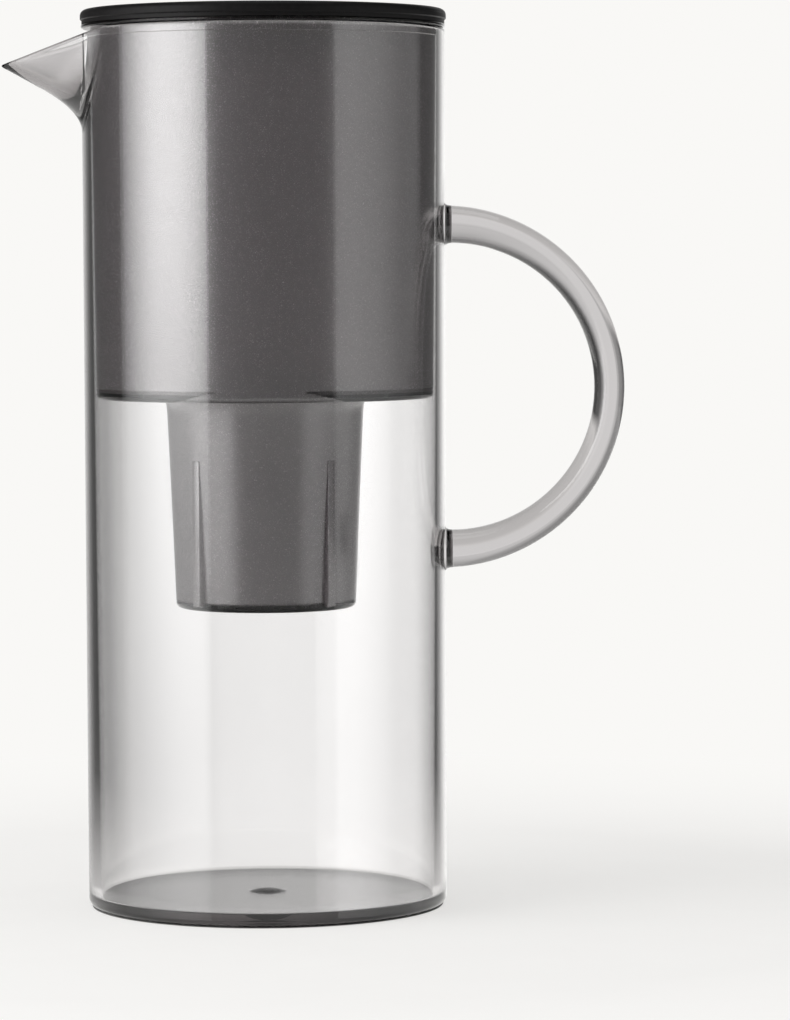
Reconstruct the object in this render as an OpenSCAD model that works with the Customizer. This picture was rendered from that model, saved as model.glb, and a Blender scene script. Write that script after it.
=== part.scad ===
// Water filter pitcher: a clear cylindrical jug with a beak spout and a loop handle, a hopper that hangs
// in its mouth, a filter cartridge in the hopper's well, and a flat lid with a fill flap.
// Millimetres, +Z up. The origin is on the jug's axis, on the underside of its base.
// The spout points to -X and the handle to +X.

/* [Jug] */
// Outside diameter of the jug at its rim
jug_d = 118; // [114:0.5:122]
// Height of the jug's rim above the table
jug_h = 285.5; // [276:0.5:294]
// Wall thickness at the rim
rim_wall = 2.6; // [2.2:0.1:3]
// Wall thickness at the foot, thicker than the rim because the core has draft
foot_wall = 3.9; // [3.4:0.1:4.4]
// Thickness of the base
base_t = 3.8; // [3.4:0.1:4.6]
// Radius of the rounded edge that the jug stands on
foot_round = 2.5; // [1.5:0.1:3.2]

/* [Spout] */
// Reach of the spout's tip from the jug's axis
spout_reach = 85.8; // [82:0.2:90]
// Drop of the spout's tip below the rim
tip_drop = 11.6; // [10:0.2:13]
// Slope of the spout's keel below the horizontal
keel_slope = 29; // [27:0.5:31]
// Slope of the cone's axis above the horizontal
cone_tilt = 13.3; // [12:0.1:15]
// Width of the spout's cone as a share of its depth
spout_narrow = 0.88; // [0.84:0.01:0.94]
// Slope of the spout's upper edge
lip_slope = 18; // [17:0.1:20]
// Wall thickness of the spout
spout_wall = 2.4; // [2:0.1:2.8]
// Width of the blend between the keel and the jug's wall
keel_blend = 13; // [10:0.5:16]

/* [Handle] */
// Radius of the handle's outer arc
handle_r = 59; // [55:0.5:62]
// Radius of the handle's inner arc
grip_r = 46.7; // [44:0.1:48]
// Height of the handle's centre above the table
handle_z = 169; // [160:1:178]
// Width of the handle's bar, across the jug
handle_w = 15; // [13:0.5:17]

/* [Hopper] */
// Height of the underside of the hopper's floor above the table
hopper_z = 165; // [158:0.5:172]
// Wall thickness of the hopper
hopper_wall = 1.8; // [1.5:0.1:2]
// Thickness of the hopper's flange, which hangs on the jug's rim
flange_t = 1.4; // [1.2:0.1:1.8]
// Depth of the filter well below the hopper's floor
well_depth = 68; // [64:0.5:70]
// Outside diameter of the well at its top
well_d = 64; // [63:0.2:65]
// Radial draft of the well over its depth
well_draft = 2.6; // [2.2:0.1:2.8]

/* [Lid] */
// Thickness of the lid's disc
lid_t = 3.5; // [3.3:0.1:4]
// Overhang of the lid past the jug's rim
lid_overhang = 0.4; // [0.2:0.1:0.8]
// Radius of the fill flap's round edge
flap_r = 46; // [42:0.5:46.5]
// Distance of the flap's hinge from the jug's axis
hinge_x = 8; // [5:0.5:10]

/* [Hidden] */
$fn = 96;
// Past a face that a cut has to pass through
over = 1;

// Colours
clear_smoke = [0.80, 0.80, 0.79, 0.45];
dark_smoke = [0.27, 0.26, 0.26, 0.85];
lid_black = [0.10, 0.10, 0.10];
seal_grey = [0.32, 0.32, 0.33];
steel = [0.75, 0.76, 0.78];
cup_white = [0.90, 0.90, 0.88];
screen_white = [0.96, 0.96, 0.94];
carbon_black = [0.06, 0.06, 0.06];
resin_amber = [0.78, 0.60, 0.30];

// Jug
rim_r = jug_d / 2;
foot_draft = 0.4;
foot_r = rim_r - foot_draft;
bore_rim_r = rim_r - rim_wall;
bore_foot_r = foot_r - foot_wall;
floor_fillet = 0.8;
gate_r = 5.9;
gate_depth = 2.2;
gate_nub_r = 1.3;
gate_nub_h = 0.9;
floor_dome_r = 6.05;
floor_dome_h = 1.15;
floor_dome_sphere_r = (floor_dome_r * floor_dome_r + floor_dome_h * floor_dome_h) / (2 * floor_dome_h);
gate_sphere_r = (gate_r * gate_r + gate_depth * gate_depth) / (2 * gate_depth);

// Spout: a cone whose point is the tip, blended into the jug's wall
tip_z = jug_h - tip_drop;
cone_half = cone_tilt + keel_slope;
cone_axis_ratio = cos(cone_tilt) / cos(cone_half);
cone_rise_ratio = sin(cone_tilt) / cos(cone_half);
cone_u2 = cone_axis_ratio * cone_axis_ratio - 1;
cone_uh = 2 * cone_axis_ratio * cone_rise_ratio;
cone_h2 = 1 - cone_rise_ratio * cone_rise_ratio;
trough_shift = spout_wall / sin(cone_half);
trough_length = 45;
trough_sides = 96;
spout_half_angle = 42;
spout_columns = 32;
spout_rows = 20;
skin_drop = 27;
spout_low_z = tip_z - skin_drop;
skin_top_tries = 40;
spout_root_r = rim_r - rim_wall / 2;
// The spout's skin starts this far inside the wall, so that it leaves the wall at a clean angle
skin_start = 0.2;
side_blend = 1.6;
side_blend_angle = 30;

// Handle: the space between two circles whose centres are apart along X
bond_stand = 2;
bond_x = rim_r + bond_stand;
outer_inset = 0.8;
outer_centre_x = rim_r - outer_inset;
arc_shift = 2.45;
inner_centre_x = outer_centre_x + arc_shift;
corner_points = 6;
section_points = 4 * corner_points;
outer_corner = 1.7;
inner_corner = 2.9;
handle_steps = 24;
boss_fillet = 2;
boss_fillet_step = 30;
boss_sink = 1.6;

// Hopper
flange_over = 0.1;
flange_r = rim_r + flange_over;
flange_z = jug_h;
flange_top = flange_z + flange_t;
hopper_gap = 0.5;
// Collar under the flange that centres the hopper in the jug's mouth
collar_gap = 0.25;
collar_h = 3;
collar_lead = 0.3;
collar_r = bore_rim_r - collar_gap;
hopper_draft = 1;
hopper_rim_r = bore_rim_r - hopper_gap;
hopper_low_r = hopper_rim_r - hopper_draft;
hopper_floor_t = 3;
hopper_floor_z = hopper_z + hopper_floor_t;
hopper_round = 1.5;
hopper_bore_r = hopper_rim_r - hopper_wall;
hopper_low_bore_r = hopper_low_r - hopper_wall;
straight_bore_h = 12;
flat_inset_top = 0.3;
flat_inset_low = 1.4;
pour_flat_top = hopper_rim_r - flat_inset_top;
pour_flat_low = hopper_low_r - flat_inset_low;
well_top_r = well_d / 2;
well_low_r = well_top_r - well_draft;
well_z = hopper_z - well_depth;
well_floor_t = 2.6;
well_flare = 0.9;
well_flare_h = 4.2;
well_round = 1.8;
throat_r = well_top_r - hopper_wall;
throat_h = 8;
well_low_bore_r = well_low_r - hopper_wall;
rib_angle = 43.5;
rib_w = 3;
rib_top_drop = 19;
rib_top_z = hopper_z - rib_top_drop;
rib_low_z = well_z + well_round;
// Stand of a rib's face off the well's wall, at its top and at its foot
rib_stand_top = 0.22;
rib_stand_low = 2.05;
drain_r = 2.5;
drain_ring_r = 15;
drains = 8;

// Lid
lid_r = rim_r + lid_overhang;
// Step under the lid's edge, which rests on the flange
lid_step_h = 1.2;
lid_step_in = 0.5;
lid_step_r = lid_r - lid_step_in;
lid_z = flange_top + lid_step_h;
lid_top = lid_z + lid_t;
lid_round = 2;
lid_edge_break = 0.4;
skirt_gap = 0.7;
skirt_r = hopper_bore_r - skirt_gap;
skirt_t = 1.8;
skirt_h = 10;
seal_groove_h = 2.5;
seal_groove_d = 1;
seal_drop = 6.6;
seal_groove_z = lid_z - seal_drop;
seal_slack = 0.05;
seal_lip_r = 0.75;
// Radial gap between a seal and the bore it slides in
seal_fit = 0.1;
flap_t = 2.2;
flap_gap = 0.3;
ledge_gap = 0.1;
ledge_w = 3;
plate_reach = 3;
plate_x = hinge_x + plate_reach;
end_flat = 1.2;
barrel_r = 2.1;
barrel_gap = 0.5;
barrel_half = sqrt(flap_r * flap_r - plate_x * plate_x) - end_flat;
hinge_z = lid_top - barrel_r;
pin_r = 1.1;
pin_clearance = 0.05;
pin_grip = 4;
pin_half = barrel_half + pin_grip;
lug_wall = 1;
lug_half = pin_half + lug_wall;
lug_drop = 1.5;
snap_mouth = 1.8;
notch_r = 8;
notch_floor = 0.7;

// Cartridge
cup_flange_r = 35;
cup_flange_t = 2;
cup_flange_gap = 0.1;
cup_flange_z = hopper_floor_z + cup_flange_gap;
cup_flange_top = cup_flange_z + cup_flange_t;
cup_clearance = 0.5;
neck_r = throat_r - cup_clearance;
neck_low_z = hopper_floor_z - throat_h + cup_clearance;
cup_foot_gap = 0.6;
cup_low_z = well_z + well_floor_t + cup_foot_gap;
cup_low_r = well_low_bore_r - cup_clearance;
cup_floor_t = 1.8;
cup_floor_z = cup_low_z + cup_floor_t;
neck_wall = 3.2;
cup_bore_r = neck_r - neck_wall;
cup_wall = 1.6;
cup_low_bore_r = cup_low_r - cup_wall;
seal_ring_r = 1.1;
seal_ring_mid = throat_r - seal_fit - seal_ring_r;
seal_ring_drop = 4;
seal_ring_z = hopper_floor_z - seal_ring_drop;
cap_r = 33;
cap_rise = 4.5;
cap_t = 1.6;
cap_dome_r = (cap_r * cap_r + cap_rise * cap_rise) / (2 * cap_rise);
dome_fn = 480;
cap_plug_t = 1.5;
cap_plug_h = 4.6;
cap_slots = 12;
cap_slot_w = 2.4;
cap_slot_in = 14;
cap_slot_out = 23.5;
loop_r = 11;
loop_t = 3;
loop_w = 7;
screen_t = 0.9;
felt_t = 2;
bed_gap = 0.15;
inlet_screen_z = cup_flange_top - cap_plug_h - screen_t - bed_gap;
resin_h = 26;
felt_z = cup_floor_z + resin_h;
screen_rings = 3;
ring_pitch = 6.5;
ring_holes = 8;
hole_r = 1.1;

// Smooth maximum of two radii, which rounds the crease between them over a width
function smooth_max(a, b, width) =
    max(a, b) + pow(max(width - abs(a - b), 0), 2) / (4 * width);

// Distance from the jug's axis to the spout's cone, at an angle from -X and a height
function cone_r(angle, z) =
    let (
        h = tip_z - z,
        c = cos(angle),
        s = sin(angle),
        y = s / spout_narrow,
        q2 = cone_u2 * c * c - y * y,
        q1 = (cone_uh * h - 2 * cone_u2 * spout_reach) * c,
        q0 = cone_u2 * spout_reach * spout_reach - cone_uh * spout_reach * h - cone_h2 * h * h
    )
    2 * q0 / (-q1 + sqrt(max(q1 * q1 - 4 * q2 * q0, 0)));

// Width of the blend between the spout and the wall: wide under the keel, narrow at the sides
function blend_width(angle) =
    let (fade = cos(90 * min(abs(angle) / side_blend_angle, 1)))
    side_blend + (keel_blend - side_blend) * fade * fade;

// Radius of the spout's outside, blended into the wall
function skin_r(angle, z) = smooth_max(rim_r - skin_start, cone_r(angle, z), blend_width(angle));

// Height of the spout's upper edge at a distance from the axis towards the tip, no higher than the rim
function lip_z(reach) = min(jug_h, tip_z + tan(lip_slope) * (spout_reach - reach));

// Height at which a column of the spout's skin meets the upper edge, closed in on step by step
function skin_top(angle, z, tries) =
    tries == 0 ? z : skin_top(angle, lip_z(skin_r(angle, z) * cos(angle)), tries - 1);

// Point at a radius and an angle from -X
function spout_point(r, angle, z) = [-r * cos(angle), -r * sin(angle), z];

// Point of the handle's section as a share of its half sizes: flat faces, softer corners on the grip's side
function section_point(i) =
    let (
        corner = floor(i / corner_points),
        a = 90 * corner + 90 * (i % corner_points) / (corner_points - 1),
        side = corner == 0 || corner == 3 ? 1 : -1,
        face = corner < 2 ? 1 : -1,
        corner_r = side > 0 ? outer_corner : inner_corner,
        share = [2 * corner_r / (handle_r - grip_r), 2 * corner_r / handle_w]
    )
    [side * (1 - share[0]) + share[0] * cos(a), face * (1 - share[1]) + share[1] * sin(a)];

// Section of the handle across a turn angle, from the inner arc to the outer one
function handle_ring(turn, x_shift) =
    let (
        outer = [outer_centre_x + handle_r * cos(turn) + x_shift, handle_z + handle_r * sin(turn)],
        inner = [inner_centre_x + grip_r * cos(turn) + x_shift, handle_z + grip_r * sin(turn)],
        mid = (outer + inner) / 2,
        half = (outer - inner) / 2
    )
    [
        for (i = [0 : section_points - 1])
            let (s = section_point(i))
            [mid[0] + half[0] * s[0], handle_w / 2 * s[1], mid[1] + half[1] * s[0]],
    ];

// Section of a handle boss at a distance along X, larger by a margin
function boss_ring(x, margin) =
    let (
        half_h = (handle_r - grip_r) / 2 + margin,
        mid_z = handle_z + (handle_r + grip_r) / 2
    )
    [
        for (i = [0 : section_points - 1])
            let (s = section_point(i))
            [x, (handle_w / 2 + margin) * s[1], mid_z + half_h * s[0]],
    ];

// Solid through a row of closed rings of points
module loft(rings) {
    n = len(rings[0]);
    last = len(rings) - 1;
    walls = [
        for (k = [0 : last - 1], i = [0 : n - 1])
            let (j = (i + 1) % n)
            each [
                [k * n + i, k * n + j, (k + 1) * n + j],
                [k * n + i, (k + 1) * n + j, (k + 1) * n + i],
            ],
    ];
    ends = [[for (i = [n - 1 : -1 : 0]) i], [for (i = [0 : n - 1]) last * n + i]];
    polyhedron(points = [for (ring = rings) each ring], faces = concat(walls, ends));
}

// Half disc on the +X side of a straight edge, cut off flat at both ends of that edge
module half_disc(r, edge_x, half_y) {
    intersection() {
        circle(r);
        translate([edge_x, -half_y]) square([r, 2 * half_y]);
    }
}

// Ring of holes round the Z axis
module hole_ring(count, ring_r, r, z, h) {
    for (i = [0 : count - 1])
        rotate(360 * i / count)
            translate([ring_r, 0, z]) cylinder(r = r, h = h, $fn = 24);
}

// Outside of the jug without its spout, turned about the axis
module jug_shell() {
    rotate_extrude() {
        polygon([
            [0, 0],
            [foot_r - foot_round, 0],
            [foot_r - foot_round, foot_round],
            [foot_r, foot_round],
            [rim_r, jug_h],
            [0, jug_h],
        ]);
        intersection() {
            translate([foot_r - foot_round, foot_round]) circle(foot_round);
            square([foot_r, foot_round]);
        }
    }
}

// Space inside the jug, with a fillet round its floor
module jug_bore() {
    top_r = bore_rim_r + (bore_rim_r - bore_foot_r) * over / jug_h;
    rotate_extrude() {
        polygon([
            [0, base_t],
            [bore_foot_r - floor_fillet, base_t],
            [bore_foot_r - floor_fillet, base_t + floor_fillet],
            [bore_foot_r, base_t + floor_fillet],
            [top_r, jug_h + over],
            [0, jug_h + over],
        ]);
        intersection() {
            translate([bore_foot_r - floor_fillet, base_t + floor_fillet]) circle(floor_fillet);
            translate([0, base_t]) square([bore_foot_r, floor_fillet]);
        }
    }
}

// Outside of the spout as a grid of points round the front of the wall, closed inside the wall.
// Each column of points ends at the spout's sloping upper edge or at the rim, whichever is lower.
module spout_skin() {
    angles = [for (i = [0 : spout_columns]) spout_half_angle * (2 * i / spout_columns - 1)];
    tops = [for (a = angles) skin_top(a, jug_h, skin_top_tries)];
    columns = spout_columns + 1;
    rows = spout_rows + 1;
    skin = [
        for (k = [0 : spout_rows], i = [0 : spout_columns])
            let (z = spout_low_z + (tops[i] - spout_low_z) * k / spout_rows)
            spout_point(skin_r(angles[i], z), angles[i], z),
    ];
    back_low = [for (a = angles) spout_point(spout_root_r, a, spout_low_z)];
    back_high = [for (a = angles) spout_point(spout_root_r, a, lip_z(spout_root_r * cos(a)))];
    low = rows * columns;
    high = low + columns;
    top = (rows - 1) * columns;
    last = columns - 1;
    front_faces = [
        for (k = [0 : rows - 2], i = [0 : columns - 2])
            let (p = k * columns + i)
            each [[p, p + columns, p + columns + 1], [p, p + columns + 1, p + 1]],
    ];
    back_faces = [
        for (i = [0 : columns - 2])
            each [[low + i, low + i + 1, high + i + 1], [low + i, high + i + 1, high + i]],
    ];
    low_faces = [for (i = [0 : columns - 2]) [i, i + 1, low + i + 1, low + i]];
    high_faces = [
        for (i = [0 : columns - 2])
            each [[top + i, high + i, high + i + 1], [top + i, high + i + 1, top + i + 1]],
    ];
    start_face = [concat([low, high], [for (k = [rows - 1 : -1 : 0]) k * columns])];
    end_face = [concat([high + last, low + last], [for (k = [0 : rows - 1]) k * columns + last])];
    polyhedron(
        points = concat(skin, back_low, back_high),
        faces = concat(front_faces, back_faces, low_faces, high_faces, start_face, end_face)
    );
}

// Channel of the spout: the same narrow cone, set in by the wall thickness
module spout_trough() {
    mouth_r = trough_length * tan(cone_half);
    mouth = [
        for (i = [0 : trough_sides - 1])
            let (a = 360 * i / trough_sides)
            [mouth_r * cos(a), spout_narrow * mouth_r * sin(a), trough_length],
    ];
    sides = [for (i = [0 : trough_sides - 1]) [0, 1 + i, 1 + (i + 1) % trough_sides]];
    end = [[for (i = [trough_sides : -1 : 1]) i]];
    translate([-spout_reach, 0, tip_z])
        rotate([0, 90 - cone_tilt, 0])
        translate([0, 0, trough_shift])
        polyhedron(points = concat([[0, 0, 0]], mouth), faces = concat(sides, end));
}

// Dimple under the base where the plastic was fed in, with the stub of the feed in its middle
module feed_dimple() {
    difference() {
        translate([0, 0, gate_depth - gate_sphere_r]) sphere(gate_sphere_r);
        translate([0, 0, gate_depth - gate_nub_h]) cylinder(r = gate_nub_r, h = gate_depth);
    }
}

// Pads on the wall that the handle's ends are bonded to
module handle_bosses() {
    rings = concat(
        [boss_ring(rim_r - boss_sink, boss_fillet)],
        [
            for (a = [0 : boss_fillet_step : 90])
                boss_ring(bond_x - boss_fillet * cos(a), boss_fillet * (1 - sin(a))),
        ]
    );
    for (side = [0, 1])
        translate([0, 0, handle_z]) mirror([0, 0, side]) translate([0, 0, -handle_z]) loft(rings);
}

module jug_body() {
    color(clear_smoke)
    difference() {
        union() {
            jug_shell();
            spout_skin();
            handle_bosses();
        }
        difference() {
            jug_bore();
            translate([0, 0, base_t + floor_dome_h - floor_dome_sphere_r]) sphere(floor_dome_sphere_r);
        }
        spout_trough();
        feed_dimple();
    }
}

module handle() {
    rings = concat(
        [handle_ring(90, -rim_wall)],
        [for (k = [0 : handle_steps]) handle_ring(90 - 180 * k / handle_steps, 0)],
        [handle_ring(-90, -rim_wall)]
    );
    color(clear_smoke)
    difference() {
        loft(rings);
        translate([0, -handle_w, 0]) cube([bond_x, 2 * handle_w, jug_h]);
    }
}

// Half space on the spout's side of the hopper, past its pour flat
module pour_side(inset) {
    drop = flange_z - hopper_z;
    lean = atan((pour_flat_top - pour_flat_low) / drop);
    size = 300;
    translate([-pour_flat_top + inset, 0, flange_z])
        rotate([0, -lean, 0])
        translate([-size, -size / 2, -size]) cube([size, size, size]);
}

// Outside of the hopper below its flange
module hopper_shell() {
    difference() {
        rotate_extrude() {
            polygon([
                [0, hopper_z],
                [hopper_low_r - hopper_round, hopper_z],
                [hopper_low_r - hopper_round, hopper_z + hopper_round],
                [hopper_low_r, hopper_z + hopper_round],
                [hopper_rim_r, flange_z - collar_h],
                [collar_r, flange_z - collar_h + collar_lead],
                [collar_r, flange_z],
                [0, flange_z],
            ]);
            intersection() {
                translate([hopper_low_r - hopper_round, hopper_z + hopper_round]) circle(hopper_round);
                translate([0, hopper_z]) square([hopper_low_r, hopper_round]);
            }
        }
        pour_side(0);
    }
}

// Space inside the hopper, straight at the top where the lid's seal runs
module hopper_bore() {
    difference() {
        rotate_extrude()
            polygon([
                [0, hopper_floor_z],
                [hopper_low_bore_r, hopper_floor_z],
                [hopper_bore_r, flange_top - straight_bore_h],
                [0, flange_top - straight_bore_h],
            ]);
        pour_side(hopper_wall);
    }
    translate([0, 0, flange_top - straight_bore_h]) cylinder(r = hopper_bore_r, h = straight_bore_h + over);
}

// Outside of the filter well, with a flared top and a rounded foot
module well_shell() {
    rotate_extrude() {
        polygon([
            [0, well_z],
            [well_low_r - well_round, well_z],
            [well_low_r - well_round, well_z + well_round],
            [well_low_r, well_z + well_round],
            [well_top_r, hopper_z - well_flare_h],
            [well_top_r + well_flare, hopper_z],
            [well_top_r + well_flare, hopper_z + over],
            [0, hopper_z + over],
        ]);
        intersection() {
            translate([well_low_r - well_round, well_z + well_round]) circle(well_round);
            translate([0, well_z]) square([well_low_r, well_round]);
        }
    }
}

// Space inside the filter well, straight at the throat where the cartridge's seal sits
module well_bore() {
    throat_z = hopper_floor_z - throat_h;
    rotate_extrude()
        polygon([
            [0, well_z + well_floor_t],
            [well_low_bore_r, well_z + well_floor_t],
            [throat_r, throat_z],
            [0, throat_z],
        ]);
    translate([0, 0, throat_z]) cylinder(r = throat_r, h = throat_h + over);
}

// Radius of the well's outside at a height
function well_r(z) =
    well_low_r + (well_top_r - well_low_r) * (z - rib_low_z) / (hopper_z - well_flare_h - rib_low_z);

// Upright ribs on the well: the well tapers away behind them, so they stand off it more at the foot
module well_ribs() {
    for (side = [-90, 90], lean = [-rib_angle, rib_angle])
        rotate(side + lean)
            translate([0, rib_w / 2, 0])
            rotate([90, 0, 0])
            linear_extrude(rib_w)
            polygon([
                [well_low_bore_r - over, rib_low_z],
                [well_low_r + rib_stand_low, rib_low_z],
                [well_r(rib_top_z) + rib_stand_top, rib_top_z],
                [well_low_bore_r - over, rib_top_z],
            ]);
}

module hopper() {
    color(dark_smoke)
    difference() {
        union() {
            translate([0, 0, flange_z]) cylinder(r = flange_r, h = flange_t);
            hopper_shell();
            well_shell();
            well_ribs();
        }
        hopper_bore();
        well_bore();
        hole_ring(drains, drain_ring_r, drain_r, well_z - over, well_floor_t + 2 * over);
    }
}

// Disc of the lid with a rounded upper edge, a step on the flange and the skirt that plugs the hopper
module lid_turned() {
    rotate_extrude() {
        polygon([
            [0, lid_z],
            [lid_r - lid_edge_break, lid_z],
            [lid_r, lid_z + lid_edge_break],
            [lid_r, lid_top - lid_round],
            [lid_r - lid_round, lid_top - lid_round],
            [lid_r - lid_round, lid_top],
            [0, lid_top],
        ]);
        intersection() {
            translate([lid_r - lid_round, lid_top - lid_round]) circle(lid_round);
            translate([0, lid_top - lid_round]) square([lid_r, lid_round]);
        }
        translate([skirt_r - skirt_t, flange_top])
            square([lid_step_r - skirt_r + skirt_t, lid_step_h + over]);
        difference() {
            translate([skirt_r - skirt_t, lid_z - skirt_h]) square([skirt_t, skirt_h + over]);
            translate([skirt_r - seal_groove_d, seal_groove_z]) square([seal_groove_d + over, seal_groove_h]);
        }
    }
}

// Blocks under the lid that hold the ends of the hinge pin
module hinge_lugs() {
    lug_w = 2 * (barrel_r + barrel_gap);
    for (side = [0, 1])
        mirror([0, side, 0])
        translate([hinge_x - lug_w / 2, barrel_half + flap_gap, lid_z - lug_drop])
        cube([lug_w, lug_half - barrel_half - flap_gap, lug_drop + over]);
}

// Opening for the flap, its ledge, the barrel's slot, the pin's snap-in seats and a finger notch
module flap_opening() {
    flap_floor = lid_top - flap_t - ledge_gap;
    slot_x = hinge_x - barrel_r - barrel_gap;
    slot_half = barrel_half + flap_gap;
    seat_r = pin_r + pin_clearance;
    translate([0, 0, lid_z - over])
        linear_extrude(lid_t + 2 * over) half_disc(flap_r - ledge_w, plate_x, slot_half);
    translate([0, 0, flap_floor])
        linear_extrude(lid_t) half_disc(flap_r + flap_gap, plate_x, slot_half);
    translate([slot_x, -slot_half, lid_z - lug_drop - over])
        cube([plate_x - slot_x + over, 2 * slot_half, lid_t + lug_drop + 2 * over]);
    translate([flap_r, 0, lid_z + notch_floor]) cylinder(r = notch_r, h = lid_t);
    translate([hinge_x, pin_half + flap_gap, hinge_z])
        rotate([90, 0, 0]) cylinder(r = seat_r, h = 2 * (pin_half + flap_gap));
    translate([hinge_x - snap_mouth / 2, -pin_half - flap_gap, lid_z - lug_drop - over])
        cube([snap_mouth, 2 * (pin_half + flap_gap), hinge_z - lid_z + lug_drop + over]);
}

module lid() {
    color(lid_black)
    difference() {
        union() {
            lid_turned();
            hinge_lugs();
        }
        flap_opening();
    }
}

module lid_seal() {
    lip_mid = hopper_bore_r - seal_fit - seal_lip_r;
    color(seal_grey)
    rotate_extrude() {
        translate([skirt_r - seal_groove_d + seal_slack, seal_groove_z + seal_slack])
            square([seal_groove_d - seal_slack, seal_groove_h - 2 * seal_slack]);
        translate([lip_mid, seal_groove_z + seal_groove_h / 2]) circle(seal_lip_r);
    }
}

module flap_hinge_pin() {
    color(steel)
    translate([hinge_x, pin_half, hinge_z]) rotate([90, 0, 0]) cylinder(r = pin_r, h = 2 * pin_half);
}

module fill_flap() {
    color(lid_black)
    difference() {
        union() {
            translate([0, 0, lid_top - flap_t])
                linear_extrude(flap_t) half_disc(flap_r, plate_x, barrel_half);
            translate([hinge_x, -barrel_half, lid_top - flap_t])
                cube([plate_x - hinge_x + over, 2 * barrel_half, flap_t]);
            translate([hinge_x, barrel_half, hinge_z])
                rotate([90, 0, 0]) cylinder(r = barrel_r, h = 2 * barrel_half);
        }
        translate([hinge_x, barrel_half + over, hinge_z])
            rotate([90, 0, 0]) cylinder(r = pin_r + pin_clearance, h = 2 * (barrel_half + over));
    }
}

module cartridge_cup() {
    color(cup_white)
    difference() {
        union() {
            rotate_extrude()
                polygon([
                    [0, cup_low_z],
                    [cup_low_r, cup_low_z],
                    [neck_r, neck_low_z],
                    [neck_r, cup_flange_z],
                    [0, cup_flange_z],
                ]);
            translate([0, 0, cup_flange_z]) cylinder(r = cup_flange_r, h = cup_flange_t);
        }
        rotate_extrude()
            polygon([
                [0, cup_floor_z],
                [cup_low_bore_r, cup_floor_z],
                [cup_bore_r, cup_flange_top],
                [cup_bore_r, cup_flange_top + over],
                [0, cup_flange_top + over],
            ]);
        rotate_extrude()
            translate([seal_ring_mid, seal_ring_z]) circle(seal_ring_r + pin_clearance);
        hole_ring(drains, drain_ring_r, drain_r, cup_low_z - over, cup_floor_t + 2 * over);
    }
}

module cartridge_seal() {
    color(seal_grey)
    rotate_extrude()
        translate([seal_ring_mid, seal_ring_z]) circle(seal_ring_r);
}

// Low dome with inlet slots, a plug ring that snaps into the cup and a loop to pull it by
module cartridge_cap() {
    dome_centre = cup_flange_top + cap_rise - cap_dome_r;
    plug_r = cup_bore_at(cup_flange_top - cap_plug_h) - pin_clearance;
    slot_low = cup_flange_top - over;
    color(screen_white) {
        difference() {
            union() {
                rotate_extrude() {
                    intersection() {
                        difference() {
                            translate([0, dome_centre]) circle(cap_dome_r, $fn = dome_fn);
                            translate([0, dome_centre]) circle(cap_dome_r - cap_t, $fn = dome_fn);
                        }
                        translate([0, cup_flange_top]) square([cap_r, cap_rise + over]);
                    }
                    translate([plug_r - cap_plug_t, cup_flange_top - cap_plug_h])
                        square([cap_plug_t, cap_plug_h + cap_t / 2]);
                }
                translate([0, loop_w / 2, cup_flange_top + cap_rise - cap_t])
                    rotate([90, 0, 0])
                    linear_extrude(loop_w)
                    intersection() {
                        difference() {
                            circle(loop_r);
                            circle(loop_r - loop_t);
                        }
                        translate([-loop_r, 0]) square([2 * loop_r, loop_r]);
                    }
            }
            for (i = [0 : cap_slots - 1])
                rotate(360 * (i + 0.5) / cap_slots)
                    translate([cap_slot_in, -cap_slot_w / 2, slot_low])
                    cube([cap_slot_out - cap_slot_in, cap_slot_w, cap_rise + 2 * over]);
        }
    }
}

// Radius of the cup's bore at a height
function cup_bore_at(z) =
    cup_low_bore_r + (cup_bore_r - cup_low_bore_r) * (z - cup_floor_z) / (cup_flange_top - cup_floor_z);

// Disc or bed that fills the cup's bore between two heights
module cup_fill(low, high) {
    rotate_extrude()
        polygon([
            [0, low],
            [cup_bore_at(low) - bed_gap, low],
            [cup_bore_at(high) - bed_gap, high],
            [0, high],
        ]);
}

// Thin disc with rings of holes that keeps the granules in
module screen(z) {
    difference() {
        cup_fill(z, z + screen_t);
        for (ring = [1 : screen_rings])
            hole_ring(ring_holes * ring, ring_pitch * ring, hole_r, z - over, screen_t + 2 * over);
    }
}

module inlet_screen() {
    color(screen_white) screen(inlet_screen_z);
}

module carbon_bed() {
    color(carbon_black) cup_fill(felt_z + felt_t, inlet_screen_z);
}

module separator_felt() {
    color(screen_white) cup_fill(felt_z, felt_z + felt_t);
}

module resin_bed() {
    color(resin_amber) cup_fill(cup_floor_z + screen_t, felt_z);
}

module outlet_screen() {
    color(screen_white) screen(cup_floor_z);
}

jug_body();
handle();
hopper();
lid();
lid_seal();
flap_hinge_pin();
fill_flap();
cartridge_cup();
cartridge_cap();
cartridge_seal();
inlet_screen();
carbon_bed();
separator_felt();
resin_bed();
outlet_screen();
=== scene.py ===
# %% [markdown]
# # A water filter pitcher
# The pitcher is a clear jug with a dark hopper hanging in its mouth, a filter in the hopper's well and a flat lid.
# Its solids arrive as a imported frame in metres: +Z is up, the spout points to -X and the handle to +X.
# This script gives every solid its finish, and remakes the see-through ones as smooth meshes, because clear plastic
# shows every facet of a coarse one.

# %% Load the frame
import math

import bmesh
import bpy
from mathutils import Matrix, Vector


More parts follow.
